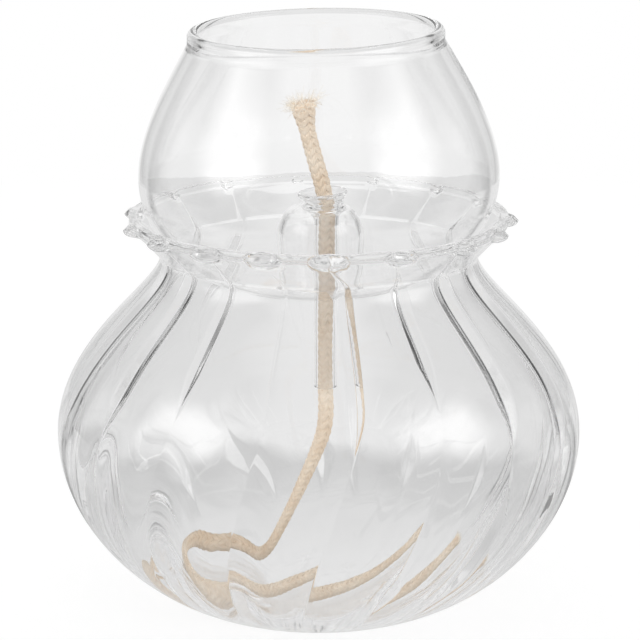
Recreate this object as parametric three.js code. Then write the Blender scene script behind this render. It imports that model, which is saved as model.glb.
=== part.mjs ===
// Oil lamp of clear blown glass, in millimetres, +Z up.
// Origin: centre of the flat base, on the surface the lamp stands on. The front faces -Y.
//
// Four loose pieces: a ribbed oil reservoir with a flared collar, an egg-shaped globe that sits in
// the collar, a bell-shaped wick holder that stands on the globe's floor with its tube through the
// globe's hole, and a braided cotton wick that runs down the tube and lies coiled in the reservoir.

import * as THREE from 'three';

// Reservoir: outer profile
const footRadius = 15.2;          // flat disc it stands on
const bellyRadius = 61.8;
const bellyHeight = 43.7;
const neckRadius = 37.2;
const neckHeight = 86;
const collarRadius = 44.4;        // outer edge of the flared rim
const collarHeight = 9.6;         // from the neck's waist up to the top of the rim
const footRoundness = 23.5;       // how far the base runs out before it turns up
const underBellyRoundness = 22.6;
const overBellyRoundness = 21.2;
const neckRoundness = 7.9;

// Reservoir: glass, ribs and rim nubs
const floorWall = 2.6;
const bodyWall = 1.5;
const collarWall = 1.9;
const ribDepth = 1.0;             // how far a rib stands in from the inner wall
const ribHalfAngle = 4.6;         // degrees
const ribStartRadius = 18;        // ribs rise out of the floor between these two radii
const ribFullRadius = 34;
const ribTwist = 4.5;             // degrees that the ribs turn from collar to belly
// Pinched by hand, so unevenly spaced: degrees from the front, at the rim.
const ribAngles = [
  3, 25, 48, 68, 90, 113.5, 138, 162.5, 187, 211, 235.5, 260, 285, 305, 325, 343.5,
];
const collarSlope = 45;           // degrees, at the rim
const nubReach = 2.9;             // how far a nub stands out of the rim
const nubHeight = 3.6;
const nubDroop = 0.5;             // its middle, below the middle of the round rim

// Globe: outer profile
const globeRadius = 42.1;
const globeWaistHeight = 28.3;    // widest point, above the globe's bottom
const mouthHeight = 34.8;         // top of the rim, above the widest point
const mouthRadius = 29.9;         // outer edge of the rolled rim
const mouthBead = 1.35;           // radius of the rolled rim's round section
const globeWall = 1.1;
const globeFloorRoundness = 18.5;
const underGlobeRoundness = 16.7;
const overGlobeRoundness = 10.5;
const shoulderRun = 11.4;         // near-straight stretch below the rim
const shoulderSlope = 60.6;       // degrees above the horizontal
const globeLean = 1.2;            // degrees, the loose globe leans to the left
const leanCentre = 31;            // height above the globe's bottom that it tilts about in its seat

// Wick, and the clearances round it
const wickDiameter = 3.8;
const wickClearance = 0.3;
const tubeWall = 0.75;
const holeClearance = 1.4;        // loose fit of the tube in the globe's hole
const seatGap = 0.3;              // between loose pieces that rest on each other

// Wick holder, heights above the foot of its bell
const bellRadius = 10.2;
const bellFootRadius = 8.3;
const bellWall = 1.1;
const bellEquator = 11;
const bellNeckRadius = 4.3;
const bellNeckHeight = 19.3;
const lipRadius = 5.8;
const lipRise = 3.4;              // lip above the neck
const tubeDrop = 24.7;            // end of the tube below the foot
const holderShift = 0.4;          // the bell stands right of the lamp's axis
const tubeOffset = 1.35;          // the tube stands right of the bell's axis

// Fineness of the faceted shapes
const globeColumns = 48;
const holderColumns = 28;
const wickSides = 8;
const wickSteps = 76;

const degrees = Math.PI / 180;
const { lerp, mapLinear, smoothstep, clamp } = THREE.MathUtils;
const vec = (x, y) => new THREE.Vector2(x, y);

// A profile moved sideways by a wall thickness, to the left of the way its points run.
function offsetProfile(points, wallAt) {
  return points.map((point, i) => {
    const before = points[Math.max(i - 1, 0)];
    const after = points[Math.min(i + 1, points.length - 1)];
    const along = vec(after.x - before.x, after.y - before.y).normalize();
    const wall = wallAt(point);
    return vec(point.x - along.y * wall, point.y + along.x * wall);
  });
}

// Height of a bowl's profile at a radius, where the profile runs outwards.
function heightOn(points, radius) {
  const next = points.findIndex((point) => point.x > radius);
  if (next < 1) return points.at(next).y;
  const low = points[next - 1];
  const high = points[next];
  return mapLinear(radius, low.x, high.x, low.y, high.y);
}

function arcPoints(centre, radius, fromDegrees, toDegrees, steps) {
  const points = [];
  for (let i = 0; i <= steps; i++) {
    const angle = lerp(fromDegrees, toDegrees, i / steps) * degrees;
    points.push(vec(centre.x + radius * Math.cos(angle), centre.y + radius * Math.sin(angle)));
  }
  return points;
}

// A lathe about Z whose every point is placed by place(column, row): its radius and height, its
// angle in degrees from the front, and a shift along X.
function placedLathe(profile, columns, place) {
  const geometry = new THREE.LatheGeometry(profile, columns);
  const position = geometry.attributes.position;
  for (let column = 0; column <= columns; column++) {
    for (let row = 0; row < profile.length; row++) {
      const { radius, height, angle, shift } = place(column % columns, row);
      const x = shift + radius * Math.sin(angle * degrees);
      const y = -radius * Math.cos(angle * degrees);
      position.setXYZ(column * profile.length + row, x, y, height);
    }
  }
  return geometry;
}

// ---- Reservoir: the walls ----------------------------------------------------------------------

const rimTop = neckHeight + collarHeight;
const rimRound = collarWall / 2;
const rimCentre = vec(collarRadius - rimRound, rimTop - rimRound);

function bodyOuter() {
  const path = new THREE.Path();
  path.moveTo(footRadius, 0);
  path.bezierCurveTo(footRadius + footRoundness, 0,
    bellyRadius, bellyHeight - underBellyRoundness, bellyRadius, bellyHeight);
  path.bezierCurveTo(bellyRadius, bellyHeight + overBellyRoundness,
    neckRadius, neckHeight - neckRoundness, neckRadius, neckHeight);
  return path.getPoints(8);
}

// The trumpet flare, from the neck's waist to where the round rim begins.
function collarOuter() {
  const slope = collarSlope * degrees;
  const edge = vec(rimCentre.x + rimRound * Math.sin(slope), rimCentre.y - rimRound * Math.cos(slope));
  const bend = edge.y - (edge.x - neckRadius) * Math.tan(slope);
  const flare = new THREE.QuadraticBezierCurve(vec(neckRadius, neckHeight), vec(neckRadius, bend), edge);
  return flare.getPoints(5).slice(1);
}

function reservoirWall(point) {
  const upBody = Math.min(point.y / bellyHeight, 1);
  const upCollar = clamp((point.y - neckHeight) / (rimCentre.y - neckHeight), 0, 1);
  return lerp(lerp(floorWall, bodyWall, upBody), collarWall, upCollar);
}

const ribRise = (point) => ribDepth * smoothstep(point.x, ribStartRadius, ribFullRadius);
const outerWall = [...bodyOuter(), ...collarOuter()];
const innerWall = offsetProfile(outerWall, reservoirWall);
const crestWall = offsetProfile(outerWall, (point) => reservoirWall(point) + ribRise(point));

function reservoir() {
  const rim = arcPoints(rimCentre, rimRound, collarSlope - 90, collarSlope + 90, 4).slice(1, -1);
  const profile = [vec(0, 0), ...outerWall, ...rim, ...innerWall.toReversed(), vec(0, floorWall)];
  const crests = [vec(0, 0), ...outerWall, ...rim, ...crestWall.toReversed(), vec(0, floorWall)];
  const rimRows = [outerWall.length - 1, outerWall.length + rim.length];
  const columnAngles = ribAngles.flatMap((rib, i) => {
    const nextRib = i + 1 < ribAngles.length ? ribAngles[i + 1] : ribAngles[0] + 360;
    return [rib, rib + ribHalfAngle, (rib + nextRib) / 2, nextRib - ribHalfAngle];
  });

  return placedLathe(profile, columnAngles.length, (column, row) => {
    const onCrest = ribAngles.includes(columnAngles[column]);
    const point = (onCrest ? crests : profile)[row];
    const isNub = onCrest && row >= rimRows[0] && row <= rimRows[1];
    const outwards = (point.x - rimCentre.x) / rimRound;
    const upwards = (point.y - rimCentre.y) / rimRound;
    const turned = 1 - clamp((point.y - bellyHeight) / (rimTop - bellyHeight), 0, 1);
    return {
      radius: isNub ? rimCentre.x + (rimRound + nubReach) * Math.max(outwards, -0.2) : point.x,
      height: isNub ? rimCentre.y - nubDroop + nubHeight / 2 * upwards : point.y,
      angle: columnAngles[column] + ribTwist * turned,
      shift: 0,
    };
  });
}

// ---- Globe -------------------------------------------------------------------------------------

const tubeInner = wickDiameter / 2 + wickClearance;
const tubeOuter = tubeInner + tubeWall;
const holeRadius = tubeOuter + holeClearance;

// Outside of the globe with its bottom at height 0, from the hole up to the rolled rim.
function globeOuter(steps) {
  const rimFoot = vec(mouthRadius, globeWaistHeight + mouthHeight - 2.4 * mouthBead);
  const slope = shoulderSlope * degrees;
  const path = new THREE.Path();
  path.moveTo(holeRadius, 0);
  path.bezierCurveTo(holeRadius + globeFloorRoundness, 0,
    globeRadius, globeWaistHeight - underGlobeRoundness, globeRadius, globeWaistHeight);
  path.bezierCurveTo(globeRadius, globeWaistHeight + overGlobeRoundness,
    rimFoot.x + shoulderRun * Math.cos(slope), rimFoot.y - shoulderRun * Math.sin(slope),
    rimFoot.x, rimFoot.y);
  return path.getPoints(steps);
}

const globeOutside = globeOuter(9);
const globeInside = offsetProfile(globeOutside, () => globeWall);

// Height of the globe's bottom at which its bowl clears the collar's ribs by the seat gap.
function globeSeat() {
  const ledge = offsetProfile(crestWall, () => seatGap).filter((point) => point.y > neckHeight);
  const bowl = globeOuter(40);
  return Math.max(...ledge.map((point) => point.y - heightOn(bowl, point.x)));
}

const globeBottom = globeSeat();

function globe() {
  const beadCentre = vec(mouthRadius - mouthBead, globeWaistHeight + mouthHeight - mouthBead);
  const bead = arcPoints(beadCentre, mouthBead, 0, 200, 5);
  const profile = [...globeOutside, ...bead, ...globeInside.toReversed(), globeOutside[0]];
  return placedLathe(profile, globeColumns, (column, row) => ({
    radius: profile[row].x,
    height: profile[row].y - leanCentre,
    angle: column * 360 / globeColumns,
    shift: 0,
  }));
}

// ---- Wick holder -------------------------------------------------------------------------------

// Outside of the bell, from its foot to the start of the neck.
function bellOuter() {
  const path = new THREE.Path();
  path.moveTo(bellFootRadius, 0);
  path.quadraticCurveTo(bellRadius, bellEquator * 0.4, bellRadius, bellEquator);
  path.bezierCurveTo(bellRadius, lerp(bellEquator, bellNeckHeight, 0.55),
    lerp(bellNeckRadius, bellRadius, 0.7), bellNeckHeight - 0.5,
    bellNeckRadius + 0.6, bellNeckHeight);
  return path.getPoints(5);
}

function wickHolder() {
  const outside = bellOuter();
  const inside = offsetProfile(outside, () => bellWall).toReversed();
  const lipTop = bellNeckHeight + lipRise;
  const lipEdge = lipRadius - tubeWall / 2;
  const flare = new THREE.QuadraticBezierCurve(outside.at(-1),
    vec(bellNeckRadius - 0.7, bellNeckHeight + 0.6), vec(lipRadius, lipTop - tubeWall));
  const funnel = new THREE.QuadraticBezierCurve(vec(lipEdge - tubeWall / 2, lipTop - tubeWall / 2),
    vec(tubeInner, bellNeckHeight + 0.8), vec(tubeInner, bellNeckHeight - 0.4));
  const profile = [
    ...outside,
    ...flare.getPoints(3).slice(1),
    vec(lipEdge, lipTop),
    ...funnel.getPoints(3),
    vec(tubeInner, bellNeckHeight / 2),
    vec(tubeInner, 0),
    vec(tubeInner, -tubeDrop),
    vec(tubeOuter, -tubeDrop),
    vec(tubeOuter, 0),
    vec(tubeOuter, bellNeckHeight / 2),
    vec(tubeOuter, bellNeckHeight - 2 * bellWall),
    ...inside,
    outside[0],
  ];
  return placedLathe(profile, holderColumns, (column, row) => {
    const { x: radius, y: height } = profile[row];
    const towardsTube = 1 - clamp((radius - tubeOuter) / (bellFootRadius - bellWall - tubeOuter), 0, 1);
    return { radius, height, angle: column * 360 / holderColumns, shift: tubeOffset * towardsTube };
  });
}

// ---- Wick --------------------------------------------------------------------------------------

const globeFloor = globeBottom + heightOn(globeInside, bellFootRadius);
const holderHeight = globeFloor + bellFootRadius * Math.sin(globeLean * degrees) + seatGap;
const wickX = holderShift + tubeOffset;

// The wick's centre line, from its top end down the tube and round the reservoir's floor.
const wickRoute = [
  [-3.75, 0, 121.6], [-2.6, 0, 115.2], [-0.9, 0, 108.6], [0.75, 0, 102.6],
  [wickX, 0, 97], [wickX, 0, 85], [wickX, 0, 70], [wickX, 0, 56], [wickX, 0, 45],
  [-0.4, 1.6, 37], [-4.2, 4.6, 27], [-8.6, 8.4, 17], [-14, 11.8, 9.6], [-19.5, 14.5, 7],
  [-26, 14.5, 9], [-31.5, 8.5, 10.1], [-33, 0.5, 10.3], [-30.5, -8, 9.5], [-24, -13.5, 7.7],
  [-16.5, -14.5, 5.9], [-9, -11.8, 4.9], [-1, -8.3, 4.9], [7, -6, 4.9], [15, -3.3, 5],
  [22, 0, 6], [28.5, 3, 8.2], [34.5, 6, 11.4],
];

function wick() {
  const points = wickRoute.map((point) => new THREE.Vector3(...point));
  const section = new THREE.Shape();
  for (let side = 0; side < wickSides; side++) {
    const angle = side * 360 / wickSides * degrees;
    const corner = [wickDiameter / 2 * Math.cos(angle), wickDiameter / 2 * Math.sin(angle)];
    if (side === 0) section.moveTo(...corner);
    else section.lineTo(...corner);
  }
  const extrudePath = new THREE.CatmullRomCurve3(points);
  return new THREE.ExtrudeGeometry(section, { steps: wickSteps, extrudePath });
}

// ---- The lamp ----------------------------------------------------------------------------------

const glass = () => new THREE.MeshStandardMaterial({
  color: 0xf2f5f5, roughness: 0.03, metalness: 0, transparent: true, opacity: 0.35,
});
const cotton = new THREE.MeshStandardMaterial({ color: 0xe8d5b5, roughness: 0.95, metalness: 0 });

function named(name, geometry, material) {
  const mesh = new THREE.Mesh(geometry, material);
  mesh.name = name;
  return mesh;
}

const lamp = new THREE.Group();

lamp.add(named('reservoir', reservoir(), glass()));

const globeMesh = named('chimney_globe', globe(), glass());
globeMesh.position.z = globeBottom + leanCentre;
globeMesh.rotation.y = -globeLean * degrees;
lamp.add(globeMesh);

const holderMesh = named('wick_holder', wickHolder(), glass());
holderMesh.position.set(holderShift, 0, holderHeight);
lamp.add(holderMesh);

lamp.add(named('wick', wick(), cotton));

export default lamp;
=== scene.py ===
from math import cos, pi, radians, sin

import bmesh
import bpy
import numpy as np
from mathutils import Matrix, Vector


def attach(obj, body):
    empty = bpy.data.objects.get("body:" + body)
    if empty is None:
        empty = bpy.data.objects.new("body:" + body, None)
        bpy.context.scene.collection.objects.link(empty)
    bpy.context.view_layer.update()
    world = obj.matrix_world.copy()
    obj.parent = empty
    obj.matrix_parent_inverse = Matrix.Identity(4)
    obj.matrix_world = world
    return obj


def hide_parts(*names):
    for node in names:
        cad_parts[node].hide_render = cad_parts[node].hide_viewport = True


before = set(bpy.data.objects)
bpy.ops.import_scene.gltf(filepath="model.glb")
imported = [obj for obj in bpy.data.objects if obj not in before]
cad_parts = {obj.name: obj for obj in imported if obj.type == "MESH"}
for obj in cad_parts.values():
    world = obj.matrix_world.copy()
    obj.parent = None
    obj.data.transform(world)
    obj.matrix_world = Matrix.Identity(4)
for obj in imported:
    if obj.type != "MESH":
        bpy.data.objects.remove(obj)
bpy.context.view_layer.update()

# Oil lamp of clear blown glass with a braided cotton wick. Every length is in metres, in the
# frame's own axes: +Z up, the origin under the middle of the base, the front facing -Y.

MM = 0.001


# ---- Small tools -------------------------------------------------------------------------------


def linear(hex_colour):
    """An sRGB hex colour as linear RGBA."""
    channels = [int(hex_colour[i:i + 2], 16) / 255 for i in (1, 3, 5)]
    return [c / 12.92 if c <= 0.04045 else ((c + 0.055) / 1.055) ** 2.4 for c in channels] + [1]


def add_node(tree, kind, inputs=None, **settings):
    """A new node with its settings. inputs gives each socket a value, or a socket to link from."""
    node = tree.nodes.new(kind)
    for name, value in settings.items():
        setattr(node, name, value)
    for name, value in (inputs or {}).items():
        if isinstance(value, bpy.types.NodeSocket):
            tree.links.new(value, node.inputs[name])
        else:
            node.inputs[name].default_value = value
    return node


def smoothstep(low, high, value):
    share = np.clip((value - low) / (high - low), 0, 1)
    return share * share * (3 - 2 * share)


# ---- Camera ------------------------------------------------------------------------------------

camera_place = Vector((0.3, -870, 286)) * MM
camera_target = Vector((0.3, 0, 70)) * MM
camera = bpy.data.objects.new("camera", bpy.data.cameras.new("camera"))
bpy.context.collection.objects.link(camera)
camera.data.lens = 214.3
camera.data.sensor_width = 36
camera.location = camera_place
camera.rotation_euler = (camera_target - camera_place).to_track_quat("-Z", "Y").to_euler()
bpy.context.scene.camera = camera


# ---- Wick --------------------------------------------------------------------------------------

wick_route = np.array([
    (-3.75, 0, 121.6), (-2.6, 0, 115.2), (-0.9, 0, 108.6), (0.75, 0, 102.6),
    (1.75, 0, 97), (1.75, 0, 85), (1.75, 0, 70), (1.75, 0, 56), (1.75, 0, 45),
    (-0.4, 1.6, 37), (-4.2, 4.6, 27), (-8.6, 8.4, 17), (-14, 11.8, 9.6), (-19.5, 14.5, 7),
    (-26, 14.5, 9), (-31.5, 8.5, 10.1), (-33, 0.5, 10.3), (-30.5, -8, 9.5), (-24, -13.5, 7.7),
    (-16.5, -14.5, 5.9), (-9, -11.8, 4.9), (-1, -8.3, 4.9), (7, -6, 4.9), (15, -3.3, 5),
    (22, 0, 6), (28.5, 3, 8.2), (34.5, 6, 11.4),
]) * MM

# The braid: eight strands each way round over a core, each over two and under two of the others.
strands_each_way = 8
braid_pitch = 15 * MM             # length in which a strand goes once round
strand_width = 1.32 * MM
strand_thickness = 0.8 * MM
strand_centre = 1.42 * MM         # from the middle of the wick
strand_weave = 0.2 * MM           # how far a strand rises and dips from there
core_radius = 1.25 * MM
flare_length = 7 * MM             # the cut top spreads
flare_growth = 0.6                # as a share of the braid's radius
random = np.random.default_rng(7)


def length_along(line):
    return np.concatenate([[0], np.cumsum(np.linalg.norm(np.diff(line, axis=0), axis=1))])


def centreline(route, step):
    """Points about a step apart on the smooth curve through a route's points."""
    route = np.vstack([2 * route[0] - route[1], route, 2 * route[-1] - route[-2]])
    line = []
    for i in range(len(route) - 3):
        points = route[i:i + 4]
        gaps = np.linalg.norm(np.diff(points, axis=0), axis=1) ** 0.5
        knots = np.concatenate([[0], np.cumsum(gaps)])
        spans = [(knots[:3], knots[1:]), (knots[:2], knots[2:]), (knots[1:2], knots[2:3])]
        for t in np.linspace(knots[1], knots[2], 24, endpoint=False):
            mixed = points
            for low, high in spans:
                share = ((t - low) / (high - low))[:, None]
                mixed = mixed[:-1] * (1 - share) + mixed[1:] * share
            line.append(mixed[0])
    line = np.array(line + [route[-2]])
    run = length_along(line)
    even = np.linspace(0, run[-1], round(run[-1] / step) + 1)
    return np.column_stack([np.interp(even, run, line[:, axis]) for axis in range(3)])


def directions(line):
    along = np.gradient(line, axis=0)
    return along / np.linalg.norm(along, axis=1)[:, None]


def carried_axes(line):
    """Two directions across a line, carried along it without a twist."""
    along = directions(line)
    across = np.empty_like(along)
    side = np.array((0.0, 1.0, 0.0))
    for i, way in enumerate(along):
        side = side - side.dot(way) * way
        side /= np.linalg.norm(side)
        across[i] = side
    return across, np.cross(along, across)


def tube(line, outwards, half_width, half_height, sides):
    """Corners and faces of a tube with an oval section, and how far round and along each corner is."""
    sideways = np.cross(directions(line), outwards)
    sideways /= np.linalg.norm(sideways, axis=1)[:, None]
    upwards = np.cross(sideways, directions(line))
    turn = 2 * pi * np.arange(sides) / sides
    wide = np.broadcast_to(half_width, len(line))[:, None, None]
    high = np.broadcast_to(half_height, len(line))[:, None, None]
    ring = (wide * np.cos(turn)[None, :, None] * sideways[:, None]
            + high * np.sin(turn)[None, :, None] * upwards[:, None])
    corners = (line[:, None] + ring).reshape(-1, 3)
    first = np.arange(len(line) - 1)[:, None] * sides + np.arange(sides)
    after = np.arange(len(line) - 1)[:, None] * sides + (np.arange(sides) + 1) % sides
    faces = np.stack([first, after, after + sides, first + sides], axis=-1).reshape(-1, 4).tolist()
    last = (len(line) - 1) * sides
    faces += [list(range(sides))[::-1], list(range(last, last + sides))]
    spread = np.stack(np.meshgrid(np.arange(sides) / sides, length_along(line) / MM), axis=-1)
    return corners, faces, spread.reshape(-1, 2)


def mesh_of(name, tubes):
    """One piece from several tubes, with a map: round each tube, and millimetres along it."""
    corners, faces, spread, count = [], [], [], 0
    for tube_corners, tube_faces, tube_spread in tubes:
        corners.append(tube_corners)
        spread.append(tube_spread)
        faces += [[count + corner for corner in face] for face in tube_faces]
        count += len(tube_corners)
    mesh = bpy.data.meshes.new(name)
    mesh.from_pydata(np.concatenate(corners).tolist(), [], faces)
    fibre_map = mesh.uv_layers.new(name="fibres")
    corner_of = np.empty(len(mesh.loops), dtype=int)
    mesh.loops.foreach_get("vertex_index", corner_of)
    fibre_map.data.foreach_set("uv", np.concatenate(spread)[corner_of].ravel())
    mesh.shade_smooth()
    piece = bpy.data.objects.new(name, mesh)
    bpy.context.collection.objects.link(piece)
    bpy.ops.object.select_all(action="DESELECT")
    piece.select_set(True)
    bpy.context.view_layer.objects.active = piece
    bpy.ops.object.mode_set(mode="EDIT")
    bpy.ops.mesh.select_all(action="SELECT")
    bpy.ops.mesh.normals_make_consistent(inside=False)
    bpy.ops.object.mode_set(mode="OBJECT")
    return piece


wick_line = centreline(wick_route, 0.5 * MM)
wick_run = length_along(wick_line)
wick_across, wick_up = carried_axes(wick_line)
flare = 1 + flare_growth * (1 - smoothstep(0, flare_length, wick_run))


def strand(number, way):
    """Centre line of one braid strand and the way outwards at each point. way is 1 or -1."""
    turn = way * 2 * pi * wick_run / braid_pitch
    angle = 2 * pi * number / strands_each_way + turn
    crossings = 2 * strands_each_way * wick_run / braid_pitch
    weave = np.cos(pi / 2 * (2 * number + way * (crossings - 0.5)))
    radius = (strand_centre + way * strand_weave * weave) * flare
    outwards = np.cos(angle)[:, None] * wick_across + np.sin(angle)[:, None] * wick_up
    return wick_line + radius[:, None] * outwards, outwards


strands = [strand(number, way) for way in (1, -1) for number in range(strands_each_way)]
core_size = core_radius * flare[1:-1]
core = tube(wick_line[1:-1], wick_across[1:-1], core_size, core_size, 10)
half_width, half_height = strand_width / 2 * flare, strand_thickness / 2
braid = [tube(line, outwards, half_width, half_height, 8) for line, outwards in strands]
wick_braid = mesh_of("wick_braid", [core] + braid)


fibre_root = 1.2 * MM             # how deep in the braid a loose fibre begins
fibre_scatter = 0.25 * MM         # how far its start strays from the strand's middle
fibre_radius = 0.085 * MM
fibre_droop = 0.15                # share of its length by which it falls short where it bends
fibre_points = 7


def frayed(name, end, count, reach, spread):
    """Loose fibres, count to a strand, out of the cut ends. end is 0 for the top, -1 for the far end."""
    fibres = []
    outside = 1 if end else -1
    for line, outwards in strands:
        away = outside * directions(line)[end]
        for _ in range(count):
            length = reach * random.uniform(0.35, 1)
            start = line[end] - away * fibre_root + random.normal(0, fibre_scatter, 3)
            bend = (outwards[end] * random.uniform(-0.1, 1.2) + random.normal(0, 0.45, 3)) * spread
            t = np.linspace(0, 1, fibre_points)[:, None]
            fibre = start + (length + fibre_root) * (away * (t - fibre_droop * t ** 3) + bend * t ** 2)
            thickness = fibre_radius * (1 - 0.6 * t[:, 0])
            sides_up = np.tile(outwards[end], (fibre_points, 1))
            fibres.append(tube(fibre, sides_up, thickness, thickness, 5))
    return mesh_of(name, fibres)


wick_top_fray = frayed("wick_top_fray", 0, 18, 1.5 * MM, 1.1)
wick_end_fray = frayed("wick_end_fray", -1, 18, 1.6 * MM, 0.35)


# ---- Glass shells ------------------------------------------------------------------------------


def bezier(*corners, steps):
    """Points along a Bezier curve, without its first point."""
    points = []
    for i in range(1, steps + 1):
        line = [Vector(corner) for corner in corners]
        while len(line) > 1:
            line = [a.lerp(b, i / steps) for a, b in zip(line, line[1:])]
        points.append(line[0])
    return points


def arc(centre, radius, start, end, steps):
    """Points along an arc between two angles in degrees."""
    angles = [radians(start + (end - start) * i / steps) for i in range(steps + 1)]
    return [Vector((centre[0] + radius * cos(a), centre[1] + radius * sin(a))) for a in angles]


def offset(points, wall):
    """A profile moved by its wall thickness to the left of the way its points run."""
    moved = []
    for i, point in enumerate(points):
        along = (points[min(i + 1, len(points) - 1)] - points[max(i - 1, 0)]).normalized()
        moved.append(point + wall(point) * Vector((-along.y, along.x)))
    return moved


def spun(name, profile, columns):
    """A shell of revolution: a ring of points shaped to the profile in mm, turned round Z."""
    bpy.ops.object.select_all(action="DESELECT")
    bpy.ops.mesh.primitive_circle_add(vertices=len(profile), radius=profile[0][0] * MM + MM)
    piece = bpy.context.object
    piece.name = piece.data.name = name
    for vertex, (radius, height) in zip(piece.data.vertices, profile):
        vertex.co = (radius * MM, 0, height * MM)
    bpy.ops.object.mode_set(mode="EDIT")
    bpy.ops.mesh.select_mode(type="EDGE")
    ring = bmesh.from_edit_mesh(piece.data)
    for edge in ring.edges:
        edge.select_set(all(abs(vertex.co.x) < 1e-7 for vertex in edge.verts))
    bmesh.update_edit_mesh(piece.data)
    bpy.ops.mesh.delete(type="EDGE")
    bpy.ops.object.mode_set(mode="OBJECT")
    lathe = piece.modifiers.new("lathe", "SCREW")
    lathe.angle = 2 * pi
    lathe.steps = lathe.render_steps = columns
    lathe.use_merge_vertices = True
    lathe.merge_threshold = 1e-6
    bpy.ops.object.modifier_apply(modifier=lathe.name)
    bpy.ops.object.mode_set(mode="EDIT")
    bpy.ops.mesh.select_all(action="SELECT")
    bpy.ops.mesh.remove_doubles(threshold=1e-6)
    bpy.ops.mesh.normals_make_consistent(inside=False)
    bpy.ops.object.mode_set(mode="OBJECT")
    bpy.ops.object.shade_smooth()
    return piece


def corners_of(piece):
    """The piece's corners in millimetres."""
    places = np.empty(len(piece.data.vertices) * 3)
    piece.data.vertices.foreach_get("co", places)
    return places.reshape(-1, 3) / MM


def place_corners(piece, places):
    piece.data.vertices.foreach_set("co", (places * MM).ravel())
    piece.data.update()


def turned(places, degrees):
    """Places turned about Z, each by its own angle, which grows from the front towards +X."""
    x, y, angle = places[:, 0], places[:, 1], np.radians(degrees)
    return np.column_stack([x * np.cos(angle) - y * np.sin(angle),
                            x * np.sin(angle) + y * np.cos(angle), places[:, 2]])


def raise_surface(piece, weights, height):
    """Raises the surface along its normals by the height times each corner's weight."""
    group = piece.vertex_groups.new(name="raised")
    for index in np.flatnonzero(weights > 0.002):
        group.add([int(index)], float(weights[index]), "REPLACE")
    bpy.context.view_layer.objects.active = piece
    lift = piece.modifiers.new("lift", "DISPLACE")
    lift.vertex_group = group.name
    lift.strength = height
    lift.mid_level = 0
    bpy.ops.object.modifier_apply(modifier=lift.name)
    piece.vertex_groups.clear()


def hand_blown(piece, height, grain):
    """Slight unevenness of the wall, as in glass that is blown and turned by hand."""
    cloud = bpy.data.textures.new("uneven_glass", "CLOUDS")
    cloud.noise_scale = grain
    cloud.noise_depth = 1
    bpy.context.view_layer.objects.active = piece
    waver = piece.modifiers.new("waver", "DISPLACE")
    waver.texture = cloud
    waver.texture_coords = "LOCAL"
    waver.strength = height
    waver.mid_level = 0.5
    bpy.ops.object.modifier_apply(modifier=waver.name)


# Reservoir, in mm: a squat ribbed pot with a waist and a flared collar.
foot_radius, belly_radius, belly_height = 15.2, 61.68, 43.7
waist_radius, waist_height = 37.2, 86
rim_top, rim_radius, rim_wall, rim_band, rim_corner = 95.6, 44.4, 1.9, 1.9, 0.35
floor_wall, body_wall = 2.6, 1.5

# Ribs stand in from the inner wall. They are narrow ridges on the shoulder, where the glass was
# stretched least, and run out at the belly. Under it they are the crests between hollow flutes, and
# turn as they run down to the foot. Most have a second, lower ridge on the crest.
# Each rib: its angle from the front, the ridge's half width and slope, the height it runs out at,
# the top of the lower ridge, the flute's depth as a share of the full one, and how round its crest is.
ribs = [
    (9.5, 1.9, 0.36, 52, 0, 1, 0),
    (30, 2.0, 0.47, 61.5, 25, 0.9, 0),
    (50, 2.8, 0.47, 51.5, 40, 0.9, 0),
    (70.5, 3.2, 0.47, 45, 43, 0.9, 0.3),
    (92, 2.1, 0.47, 45, 40, 1, 0.5),
    (115.5, 2.1, 0.47, 45, 40, 1, 0.5),
    (139.5, 2.1, 0.47, 45, 30, 0.7, 0.5),
    (163.5, 2.1, 0.47, 45, 30, 0.7, 0.5),
    (188, 2.1, 0.47, 45, 30, 0.7, 0.5),
    (212, 2.1, 0.47, 45, 30, 0.7, 0.5),
    (236.5, 2.1, 0.47, 45, 30, 1, 0.5),
    (261.5, 2.1, 0.47, 45, 40, 1, 0.5),
    (286, 3.2, 0.47, 45, 43, 1.2, 1),
    (306.5, 2.6, 0.45, 51, 46, 1.4, 1),
    (326, 1.7, 0.45, 59, 24, 1.3, 0.8),
    (348, 0.6, 0.3, 60, 0, 1.2, 0.5),
]
rib_angles, ridge_widths, ridge_slopes, ridge_ends, lower_tops, flute_shares, crest_roundness = zip(*ribs)
ridge_top = ((84, 1), (88, 0.4), (91, 0.1))             # how it narrows towards the collar
ridge_fade = 8                                          # height in which a ridge's end runs out
rib_start, rib_full = 15, 28                            # radii between which the ribs rise from the foot
lower_foot, lower_width = 12, 3.0
rib_slant, slant_height, slant_bend = 0.3, 58, 6        # degrees to each mm below this height
flute_depths = ((6, 0.6), (18, 0.9), (34, 0.9), (46, 0.7), (56, 0.2), (80, 0.1), (86, 0))
columns_per_rib = 36

rim_centre = Vector((rim_radius - rim_wall / 2, rim_top - rim_wall / 2))
rim_foot = Vector((rim_radius - rim_corner, rim_top - rim_band - rim_corner))
pot_outside = [
    Vector((foot_radius, 0)),
    *bezier((foot_radius, 0), (foot_radius + 23.5, 0), (belly_radius, belly_height - 22.6),
            (belly_radius, belly_height), steps=30),
    *bezier((belly_radius, belly_height), (belly_radius, belly_height + 21.2),
            (waist_radius, waist_height - 7.9), (waist_radius, waist_height), steps=26),
    *bezier((waist_radius, waist_height), (waist_radius, rim_foot.y - (rim_foot.x - waist_radius)),
            rim_foot, steps=16),
]


def pot_wall(point):
    up_body = min(point.y / belly_height, 1)
    up_collar = min(max((point.y - waist_height) / (rim_centre.y - waist_height), 0), 1)
    body = floor_wall + (body_wall - floor_wall) * up_body
    return body + (rim_wall - body) * up_collar


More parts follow.
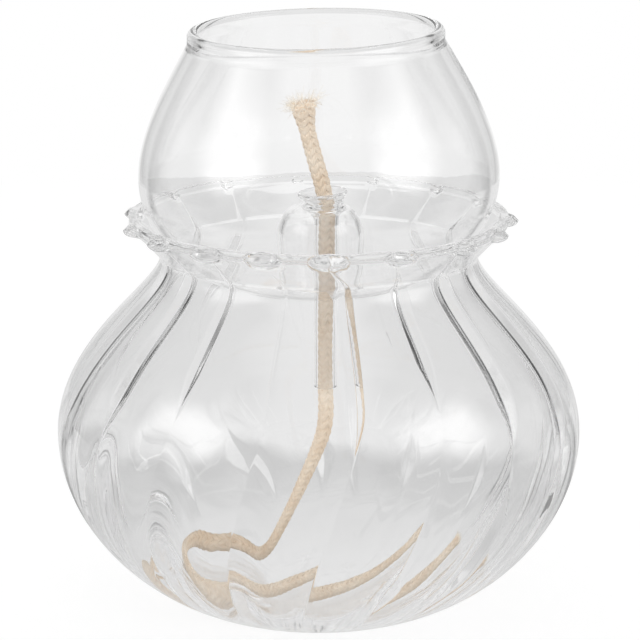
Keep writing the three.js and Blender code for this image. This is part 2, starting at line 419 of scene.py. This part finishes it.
pot_inside = offset(pot_outside, pot_wall)
inner_edge = Vector((rim_radius - rim_wall, rim_top))
pot_rim = [
    *bezier(rim_foot, (rim_radius, rim_top - rim_band), (rim_radius, rim_top - rim_band + rim_corner),
            steps=4),
    Vector((rim_radius, rim_top - rim_band / 2)),
    *bezier((rim_radius, rim_top - rim_corner), (rim_radius, rim_top), (rim_radius - rim_corner, rim_top),
            steps=5),
    *bezier(inner_edge + Vector((rim_corner, 0)), inner_edge, inner_edge - Vector((0, rim_corner)),
            steps=5),
]
pot_profile = [Vector((0, 0)), *pot_outside, *pot_rim, *reversed(pot_inside), Vector((0, floor_wall))]
reservoir_glass = spun("reservoir_glass", pot_profile, columns_per_rib * len(rib_angles))

# Nubs: near the top of each rib the rim is pinched out by hand into a drop, unevenly spaced.
nub_angles = [3, 25, 48, 68, 90, 113.5, 138, 162.5, 187, 211, 235.5, 260, 285, 305, 325, 343.5]
nub_sizes = [1.1, 1, 1, 0.9, 0.85, 0.8, 0.6, 0.5, 0.5, 0.5, 0.6, 0.8, 0.85, 0.95, 1.1, 1.1]
nub_middle = rim_centre + Vector((0.1, -0.6))
nub_reach, nub_back, nub_height, nub_length = 3.7, 1.0, 1.9, 4.1      # from its middle
nub_blend = 0.2


def drawn_into_nubs(places, from_nub, size):
    """The corners with those inside a nub moved out to its surface, and a soft blend round it."""
    radius, height = np.hypot(places[:, 0], places[:, 1]), places[:, 2]
    out, up = radius - nub_middle.x, height - nub_middle.y
    along = np.clip(abs(radians(1) * from_nub * radius) / (nub_length * size), 0, 1)
    size = size * np.maximum((1 - along ** 2) ** 0.7, 1e-4)
    depth = np.hypot(out / np.where(out > 0, nub_reach, nub_back), up / nub_height) / size
    surface = np.clip((1 + nub_blend - depth) / (2 * nub_blend), 0, 1)
    grown = np.where(depth < 1 - nub_blend, 1, depth + nub_blend * surface ** 2)
    growth = np.where(depth < 1 + nub_blend, grown / np.maximum(depth, 1e-3), 1)
    moved = places.copy()
    moved[:, :2] *= ((radius + out * (growth - 1)) / np.maximum(radius, 1e-6))[:, None]
    moved[:, 2] += up * (growth - 1)
    return moved


def all_round(values, turn=0):
    """The ribs' values with the first one repeated at the end, a whole turn on."""
    return [*values, values[0] + turn]


places = corners_of(reservoir_glass)
radius, height = np.hypot(places[:, 0], places[:, 1]), places[:, 2]
even_angle = np.degrees(np.arctan2(places[:, 1], places[:, 0])) % 360
even_column = even_angle * len(rib_angles) / 360
off_rib = even_column - np.round(even_column)
closer = np.interp(abs(off_rib), (0, 0.25, 0.5), (0, 0.12, 0.5))
column = np.round(even_column) + np.sign(off_rib) * closer
count = range(len(rib_angles) + 1)
towards_nub = smoothstep(waist_height, rim_centre.y - 1, height)


def angle_at(column):
    """The angle from the front of a place between ribs, which are numbered round the lamp."""
    rib = np.interp(column, count, all_round(rib_angles, 360))
    nub = np.interp(column, count, all_round(nub_angles, 360))
    return rib + (nub - rib) * towards_nub


angle = angle_at(column)
from_rib = angle - angle_at(np.round(column))
inside = np.array(pot_inside)
off_inside = np.array([np.hypot(inside[:, 0] - r, inside[:, 1] - h).min() for r, h in zip(radius, height)])
nearest = np.round(column).astype(int)
ridge_width, ridge_slope, ridge_end, lower_top, nub_size = (
    np.array(all_round(values))[nearest]
    for values in (ridge_widths, ridge_slopes, ridge_ends, lower_tops, nub_sizes))
ridge_width *= np.interp(height, *zip(*ridge_top)) * np.clip((height - ridge_end) / ridge_fade, 0, 1)
to_lower_end = np.minimum(height - lower_foot, lower_top - height)
ridge_width += lower_width * np.clip(to_lower_end / ridge_fade, 0, 1)
ridge = ridge_slope * np.clip(ridge_width - abs(radians(1) * from_rib * radius), 0, None)
roundness = np.interp(column, count, all_round(crest_roundness))
flute = (1 - roundness) * (1 - 2 * (column % 1)) ** 2 + roundness * (1 + np.cos(2 * pi * column)) / 2
flute *= np.interp(height, *zip(*flute_depths)) * np.interp(column, count, all_round(flute_shares))
rib = (ridge + flute) * smoothstep(rib_start, rib_full, radius) * (off_inside < 0.01)
below = slant_height - height
slant = rib_slant / 2 * (below + np.hypot(below, slant_bend))
pinched = drawn_into_nubs(places, from_rib, nub_size)
place_corners(reservoir_glass, turned(pinched, angle - even_angle - 90 - slant))
raise_surface(reservoir_glass, rib / rib.max(), rib.max() * MM)
hand_blown(reservoir_glass, 0.12 * MM, 22 * MM)
places = corners_of(reservoir_glass)
places[:, 2] = np.maximum(places[:, 2], 0)              # it stands flat on the table
place_corners(reservoir_glass, places)

# Globe, in mm above its own bottom: an egg shape with a hole below and a rolled rim above.
hole_radius, globe_radius, globe_waist = 4.35, 42.1, 28.3
mouth_radius, mouth_top, mouth_bead = 29.9, 63.05, 1.35
globe_wall = 1.1
globe_bottom = 76.464
globe_lean, lean_centre = 1.2, 31

mouth_foot = Vector((mouth_radius, mouth_top - 2.4 * mouth_bead))
shoulder = 11.4 * Vector((cos(radians(60.6)), -sin(radians(60.6))))
globe_outside = [
    Vector((hole_radius, 0)),
    *bezier((hole_radius, 0), (hole_radius + 18.5, 0), (globe_radius, globe_waist - 16.7),
            (globe_radius, globe_waist), steps=36),
    *bezier((globe_radius, globe_waist), (globe_radius, globe_waist + 10.5), mouth_foot + shoulder,
            mouth_foot, steps=24),
]
globe_inside = offset(globe_outside, lambda point: globe_wall)
mouth = arc((mouth_radius - mouth_bead, mouth_top - mouth_bead), mouth_bead, 0, 200, 14)
globe_glass = spun("globe_glass", [*globe_outside, *mouth, *reversed(globe_inside)], 320)
hand_blown(globe_glass, 0.08 * MM, 25 * MM)
globe_glass.data.transform(
    Matrix.Translation((0, 0, (globe_bottom + lean_centre) * MM))
    @ Matrix.Rotation(radians(-globe_lean), 4, "Y")
    @ Matrix.Translation((0, 0, -lean_centre * MM)))

# Wick holder, in mm above the foot of its bell.
bell_foot, bell_radius, bell_equator, bell_wall = 8.3, 10.2, 11, 1.1
neck_radius, neck_height = 4.9, 19.3
lip_radius, lip_top = 5.8, 22.7
tube_inside, tube_outside, tube_end = 2.2, 2.95, -24.7
holder_shift, holder_height, tube_offset = 0.4, 78.308, 1.35
lip_tilt = 4.3                                # degrees, the lip's right side is higher

bell_outside = [
    Vector((bell_foot, 0)),
    *bezier((bell_foot, 0), (bell_radius, 4.4), (bell_radius, bell_equator), steps=14),
    *bezier((bell_radius, bell_equator), (bell_radius, 15.6), (8.4, 18.8), (neck_radius, neck_height),
            steps=20),
]
bell_inside = offset(bell_outside, lambda point: bell_wall)
tube_wall = tube_outside - tube_inside
lip_edge = lip_radius - tube_wall / 2
holder_profile = [
    *bell_outside,
    *bezier((neck_radius, neck_height), (3.6, 19.9), (lip_radius, lip_top - tube_wall), steps=12),
    *arc((lip_edge, lip_top - tube_wall / 2), tube_wall / 2, 0, 180, 8)[1:],
    *bezier((lip_edge - tube_wall / 2, lip_top - tube_wall / 2), (tube_inside, neck_height + 0.8),
            (tube_inside, neck_height - 0.4), steps=10),
    *[Vector((tube_inside, h)) for h in np.linspace(neck_height - 2, tube_end + 0.4, 24)],
    *arc((tube_inside + tube_wall / 2, tube_end + tube_wall / 2), tube_wall / 2, 180, 360, 6),
    *[Vector((tube_outside, h)) for h in np.linspace(tube_end + 0.8, neck_height - 3.4, 24)],
    *bezier((tube_outside, neck_height - 3.4), (tube_outside, neck_height - 1.5), bell_inside[-1],
            steps=6)[:-1],
    *reversed(bell_inside),
]
holder_glass = spun("holder_glass", holder_profile, 96)
places = corners_of(holder_glass)
radius, height = np.hypot(places[:, 0], places[:, 1]), places[:, 2]
near_tube = 1 - np.clip((radius - tube_outside) / (bell_foot - bell_wall - tube_outside), 0, 1)
places[:, 0] += holder_shift + tube_offset * near_tube
lip_share = smoothstep(neck_height - 0.5, lip_top - 1, height)
places[:, 2] += lip_share * (places[:, 0] - tube_offset) * radians(lip_tilt) + holder_height
place_corners(holder_glass, places)
hand_blown(holder_glass, 0.05 * MM, 9 * MM)


# ---- Materials ---------------------------------------------------------------------------------


def new_material(name):
    material = bpy.data.materials.new(name)
    material.use_nodes = True
    tree = material.node_tree
    return material, tree, tree.nodes["Principled BSDF"], tree.nodes["Material Output"]


def blown_glass():
    """Clear borosilicate glass, blown and fire-polished: colourless, bright and almost smooth.
    What shows of its making is a faint unevenness that bends what is seen through it. Lamps
    shine through it to the wick."""
    material, tree, glass, output = new_material("clear_blown_glass")
    place = add_node(tree, "ShaderNodeTexCoord").outputs["Object"]
    cords = add_node(tree, "ShaderNodeTexNoise", {"Vector": place, "Scale": 1 / (9 * MM), "Detail": 2})
    film = add_node(tree, "ShaderNodeTexNoise", {"Vector": place, "Scale": 1 / (14 * MM), "Detail": 4})
    roughness = add_node(tree, "ShaderNodeMapRange", {
        "Value": film.outputs["Fac"], "From Min": 0.45, "From Max": 0.75, "To Min": 0.0, "To Max": 0.03})
    bump = add_node(tree, "ShaderNodeBump", {
        "Height": cords.outputs["Fac"], "Strength": 0.15, "Distance": 0.1 * MM})
    glass.inputs["Base Color"].default_value = linear("#FFFFFF")
    glass.inputs["Transmission Weight"].default_value = 1
    glass.inputs["IOR"].default_value = 1.47
    tree.links.new(roughness.outputs["Result"], glass.inputs["Roughness"])
    tree.links.new(bump.outputs["Normal"], glass.inputs["Normal"])
    clear = add_node(tree, "ShaderNodeBsdfTransparent", {"Color": linear("#FFFFFF")})
    path = add_node(tree, "ShaderNodeLightPath")
    through = add_node(tree, "ShaderNodeMixShader", {
        "Fac": path.outputs["Is Shadow Ray"], 1: glass.outputs["BSDF"], 2: clear.outputs["BSDF"]})
    tree.links.new(through.outputs["Shader"], output.inputs["Surface"])
    return material


def braided_cotton():
    """Unbleached cotton, spun and braided: matt and cream, with fine fibres along each strand."""
    material, tree, cotton, output = new_material("unbleached_cotton")
    fibres = add_node(tree, "ShaderNodeUVMap", uv_map="fibres").outputs["UV"]
    # A yarn is about 0.2 mm across, five to a strand's width, and uneven over a few millimetres.
    yarns = add_node(tree, "ShaderNodeMapping", {"Vector": fibres, "Scale": (14, 0.9, 1)})
    grain = add_node(tree, "ShaderNodeTexNoise", {
        "Vector": yarns.outputs["Vector"], "Scale": 1, "Detail": 3})
    place = add_node(tree, "ShaderNodeTexCoord").outputs["Object"]
    patches = add_node(tree, "ShaderNodeTexNoise", {"Vector": place, "Scale": 1 / (6 * MM), "Detail": 2})
    tone = add_node(tree, "ShaderNodeMath", {0: grain.outputs["Fac"], 1: patches.outputs["Fac"]},
                    operation="ADD")
    colour = add_node(tree, "ShaderNodeMapRange", {
        "Value": tone.outputs["Value"], "From Min": 0.7, "From Max": 1.3})
    shades = add_node(tree, "ShaderNodeValToRGB", {"Fac": colour.outputs["Result"]})
    shades.color_ramp.elements[0].color = linear("#E8D0B4")
    shades.color_ramp.elements[1].color = linear("#FBEDDA")
    bump = add_node(tree, "ShaderNodeBump", {
        "Height": grain.outputs["Fac"], "Strength": 0.6, "Distance": 0.08 * MM})
    cotton.inputs["Roughness"].default_value = 0.95
    cotton.inputs["Sheen Weight"].default_value = 0.15
    tree.links.new(shades.outputs["Color"], cotton.inputs["Base Color"])
    tree.links.new(bump.outputs["Normal"], cotton.inputs["Normal"])
    return material


light_passed = 0.7                # share of the lamps' light that goes on between loose fibres


def loose_cotton():
    """Cotton fibres fluffed out of the cut ends: nearly white, partly the paler tone of loose fibres and
    partly painted light that offsets the shade among them, and thin enough to pass light on.
    """
    material, tree, cotton, output = new_material("loose_cotton_fibres")
    place = add_node(tree, "ShaderNodeTexCoord").outputs["Object"]
    tufts = add_node(tree, "ShaderNodeTexNoise", {"Vector": place, "Scale": 1 / (0.8 * MM), "Detail": 2})
    shades = add_node(tree, "ShaderNodeValToRGB", {"Fac": tufts.outputs["Fac"]})
    # Nearly white: partly the paler tone of loose cotton, partly painted light against the shade among the
    # fibres.
    shades.color_ramp.elements[0].color = linear("#FFF7EC")
    shades.color_ramp.elements[1].color = linear("#FFFFFC")
    cotton.inputs["Roughness"].default_value = 0.9
    cotton.inputs["Specular IOR Level"].default_value = 0.2
    tree.links.new(shades.outputs["Color"], cotton.inputs["Base Color"])
    passed = add_node(tree, "ShaderNodeBsdfTranslucent", {"Color": shades.outputs["Color"]})
    fibre = add_node(tree, "ShaderNodeMixShader", {
        "Fac": 0.5, 1: cotton.outputs["BSDF"], 2: passed.outputs["BSDF"]})
    clear = add_node(tree, "ShaderNodeBsdfTransparent", {"Color": linear("#FFFFFF")})
    path = add_node(tree, "ShaderNodeLightPath")
    thin = add_node(tree, "ShaderNodeMath", {0: path.outputs["Is Shadow Ray"], 1: light_passed},
                    operation="MULTIPLY")
    airy = add_node(tree, "ShaderNodeMixShader", {
        "Fac": thin.outputs["Value"], 1: fibre.outputs["Shader"], 2: clear.outputs["BSDF"]})
    tree.links.new(airy.outputs["Shader"], output.inputs["Surface"])
    return material


clear_glass = blown_glass()
for piece in (reservoir_glass, globe_glass, holder_glass):
    piece.data.materials.append(clear_glass)
wick_braid.data.materials.append(braided_cotton())
fluff = loose_cotton()
for piece in (wick_top_fray, wick_end_fray):
    piece.data.materials.append(fluff)


# ---- Table, room and lamps ---------------------------------------------------------------------

gap_middle = 47.5           # degrees from the middle of the back wall, the dark gap between two walls

# The table's painted glow as the glass shows it, darker away from the lamp as painted shade, at distances
# in metres from the lamp.
table_near, table_far = (0.03, 0.62), (0.11, 0.46)
wall_start, wall_full, painted_wall_glow = 0.118, 0.138, 0.18   # a painted brighter glow for the wall beyond the table
strip_start, strip_full = 0.075, 0.09                   # where a painted dark strip begins
strip_half, strip_edge = 2.5, 7.5                       # degrees from its middle, darkest to gone
painted_strip_level = 0.12                                      # share of the plain table's glow left in a painted dark strip
table_seen = 0.86                                       # its glow straight to the eye


def pale_table_painted_glow():
    """A matt pale table top. It shows white behind the object and keeps its shadow. Seen through
    the glass it glows with painted light: a light grey darkened by painted shade away from the lamp,
    as a table does in front of a brighter wall, a painted glow for that wall beyond it, and two
    painted dark strips where the dark gaps of the room go on across it."""
    material, tree, matt, output = new_material("pale_table_painted_glow")
    matt.inputs["Base Color"].default_value = linear("#7C7C7C")
    matt.inputs["Roughness"].default_value = 1
    matt.inputs["Specular IOR Level"].default_value = 0
    place = add_node(tree, "ShaderNodeTexCoord").outputs["Object"]
    away = add_node(tree, "ShaderNodeVectorMath", {0: place}, operation="LENGTH").outputs["Value"]
    # Painted shade: the glow seen through the glass darkens away from the lamp, with a painted brighter
    # band for the wall beyond.
    near = add_node(tree, "ShaderNodeMapRange", {
        "Value": away, "From Min": table_near[0], "From Max": table_far[0],
        "To Min": table_near[1], "To Max": table_far[1]})
    wall = add_node(tree, "ShaderNodeMapRange", {
        "Value": away, "From Min": wall_start, "From Max": wall_full, "To Min": 0.0, "To Max": painted_wall_glow})
    plain = add_node(tree, "ShaderNodeMath", {0: near.outputs["Result"], 1: wall.outputs["Result"]},
                     operation="ADD")
    # Painted shade: two dark strips across the table's glow, where the dark gaps of the room would fall on
    # it.
    way = add_node(tree, "ShaderNodeSeparateXYZ", {"Vector": place})
    sideways = add_node(tree, "ShaderNodeMath", {0: way.outputs["X"]}, operation="ABSOLUTE")
    turn = add_node(tree, "ShaderNodeMath", {0: sideways.outputs["Value"], 1: way.outputs["Y"]},
                    operation="ARCTAN2")
    off_gap = add_node(tree, "ShaderNodeMath", {0: turn.outputs["Value"], 1: radians(gap_middle)},
                       operation="SUBTRACT")
    beside = add_node(tree, "ShaderNodeMath", {0: off_gap.outputs["Value"]}, operation="ABSOLUTE")
    strip = add_node(tree, "ShaderNodeMapRange", {
        "Value": beside.outputs["Value"], "From Min": radians(strip_half), "From Max": radians(strip_edge),
        "To Min": painted_strip_level})
    starts = add_node(tree, "ShaderNodeMapRange", {
        "Value": away, "From Min": strip_start, "From Max": strip_full})
    shaded = add_node(tree, "ShaderNodeMix", {
        "Factor": starts.outputs["Result"], "A": 1.0, "B": strip.outputs["Result"]})
    through = add_node(tree, "ShaderNodeMath", {0: plain.outputs["Value"], 1: shaded.outputs["Result"]},
                       operation="MULTIPLY")
    path = add_node(tree, "ShaderNodeLightPath")
    strength = add_node(tree, "ShaderNodeMix", {
        "Factor": path.outputs["Is Camera Ray"], "A": through.outputs["Value"], "B": table_seen})
    glow = add_node(tree, "ShaderNodeEmission", {"Strength": strength.outputs["Result"]})
    lit = add_node(tree, "ShaderNodeAddShader", {0: matt.outputs["BSDF"], 1: glow.outputs["Emission"]})
    tree.links.new(lit.outputs["Shader"], output.inputs["Surface"])
    return material


bpy.ops.object.select_all(action="DESELECT")
bpy.ops.mesh.primitive_circle_add(vertices=128, radius=0.5, fill_type="NGON", location=(0, 0, -0.3 * MM))
table = bpy.context.object
table.name = "table"
table.data.materials.append(pale_table_painted_glow())

# The room: white behind the object. Seen in or through the glass it is a studio of pale walls, laid
# out the same to the left and the right: a bright wall behind the lamp, dark gaps between the walls,
# which draw the edges of clear glass, two soft white boxes in front to the sides, each framed by dark
# boards, and a white ceiling.
# Places round the room are in degrees from the middle of the back wall, heights in degrees.
wall_levels = ((0, 0.92), (14, 0.9), (20, 0.62), (38, 0.55),
               (gap_middle - 4.5, 0.06), (gap_middle + 4.5, 0.06), (57, 0.5), (80, 0.55),
               (92, 0.42), (104, 0.42), (113, 0.8), (140, 0.85), (150, 0.62), (180, 0.66))
box_across, box_up = ((86, 0), (102, 1), (130, 1), (146, 0)), ((4, 0), (16, 1), (34, 1), (43, 0))
board_across, board_up = ((48, 0), (56, 1), (132, 1), (150, 0)), ((14, 0), (24, 1), (58, 1), (70, 0))
box_level, board_level, ceiling_level = 2.2, 0.1, 1.05
lamplit_level = 0.65                                    # the room as it lights matt things

world = bpy.data.worlds.new("studio")
bpy.context.scene.world = world
world.use_nodes = True
tree = world.node_tree
way = add_node(tree, "ShaderNodeSeparateXYZ", {
    "Vector": add_node(tree, "ShaderNodeTexCoord").outputs["Generated"]})
sideways = add_node(tree, "ShaderNodeMath", {0: way.outputs["X"]}, operation="ABSOLUTE")
turn = add_node(tree, "ShaderNodeMath", {0: sideways.outputs["Value"], 1: way.outputs["Y"]},
                operation="ARCTAN2")
turn_degrees = add_node(tree, "ShaderNodeMath", {0: turn.outputs["Value"]}, operation="DEGREES")
round_room = turn_degrees.outputs["Value"]
rise = add_node(tree, "ShaderNodeMath", {0: way.outputs["Z"]}, operation="ARCSINE")
rise_degrees = add_node(tree, "ShaderNodeMath", {0: rise.outputs["Value"]}, operation="DEGREES")
up_room = rise_degrees.outputs["Value"]
above = add_node(tree, "ShaderNodeMapRange", {
    "Value": up_room, "From Min": 18, "From Max": 42}, interpolation_type="SMOOTHSTEP")
parts_of_room = ((round_room, 180, wall_levels), (round_room, 180, board_across), (up_room, 90, board_up),
                 (round_room, 180, box_across), (up_room, 90, box_up))
ramps = []
for value, full_scale, stops in parts_of_room:
    share = add_node(tree, "ShaderNodeMapRange", {"Value": value, "From Min": 0, "From Max": full_scale})
    node = add_node(tree, "ShaderNodeValToRGB", {"Fac": share.outputs["Result"]})
    marks = node.color_ramp.elements
    while len(marks) < len(stops):
        marks.new(0.5)
    for mark, (degrees, level) in zip(marks, stops):
        mark.position = degrees / full_scale
        mark.color = (level, level, level, 1)
    ramps.append(node.outputs["Color"])
walls, board_round, board_rise, box_round, box_rise = ramps
room = add_node(tree, "ShaderNodeMix", {"Factor": above.outputs["Result"], "A": walls, "B": ceiling_level})
board = add_node(tree, "ShaderNodeMath", {0: board_round, 1: board_rise}, operation="MULTIPLY")
boarded = add_node(tree, "ShaderNodeMix", {
    "Factor": board.outputs["Value"], "A": room.outputs["Result"], "B": board_level})
box = add_node(tree, "ShaderNodeMath", {0: box_round, 1: box_rise}, operation="MULTIPLY")
lit_room = add_node(tree, "ShaderNodeMix", {
    "Factor": box.outputs["Value"], "A": boarded.outputs["Result"], "B": box_level})
path = add_node(tree, "ShaderNodeLightPath")
bent = add_node(tree, "ShaderNodeMath", {
    0: path.outputs["Is Transmission Ray"], 1: path.outputs["Is Glossy Ray"]}, operation="MAXIMUM")
plain = add_node(tree, "ShaderNodeMix", {
    "Factor": bent.outputs["Value"], "A": lamplit_level, "B": lit_room.outputs["Result"]})
strength = add_node(tree, "ShaderNodeMix", {
    "Factor": path.outputs["Is Camera Ray"], "A": plain.outputs["Result"], "B": 1.0})
tree.links.new(strength.outputs["Result"], tree.nodes["Background"].inputs["Strength"])
tree.nodes["Background"].inputs["Color"].default_value = (1, 1, 1, 1)


def softbox(name, azimuth, distance, height, width, tall, brightness):
    """A tall soft lamp. azimuth is in degrees from the front, growing towards +X."""
    light = bpy.data.lights.new(name, "AREA")
    light.shape = "RECTANGLE"
    light.size, light.size_y = width, tall
    light.energy = brightness * pi * width * tall
    lamp = bpy.data.objects.new(name, light)
    bpy.context.collection.objects.link(lamp)
    angle = radians(azimuth)
    lamp.location = (distance * sin(angle), -distance * cos(angle), height)
    lamp.rotation_euler = (Vector((0, 0, 0.07)) - lamp.location).to_track_quat("-Z", "Y").to_euler()
    lamp.visible_camera = lamp.visible_glossy = lamp.visible_transmission = False


softbox("left_softbox", -51, 1.0, 0.35, 0.35, 0.9, 2.6)
softbox("right_softbox", 58, 1.0, 0.35, 0.35, 0.9, 2.2)

scene = bpy.context.scene
scene.view_settings.view_transform = "Standard"
scene.cycles.max_bounces = 128
scene.cycles.diffuse_bounces = 12
scene.cycles.transmission_bounces = 128
scene.cycles.glossy_bounces = 64
scene.cycles.transparent_max_bounces = 32


# ---- What each piece is ------------------------------------------------------------------------

for piece, body, node in ((reservoir_glass, "reservoir", "reservoir"),
                          (globe_glass, "globe", "chimney_globe"),
                          (holder_glass, "holder", "wick_holder")):
    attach(piece, body)
    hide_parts(node)

for piece in (wick_braid, wick_top_fray, wick_end_fray):
    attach(piece, "wick")
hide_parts("wick")
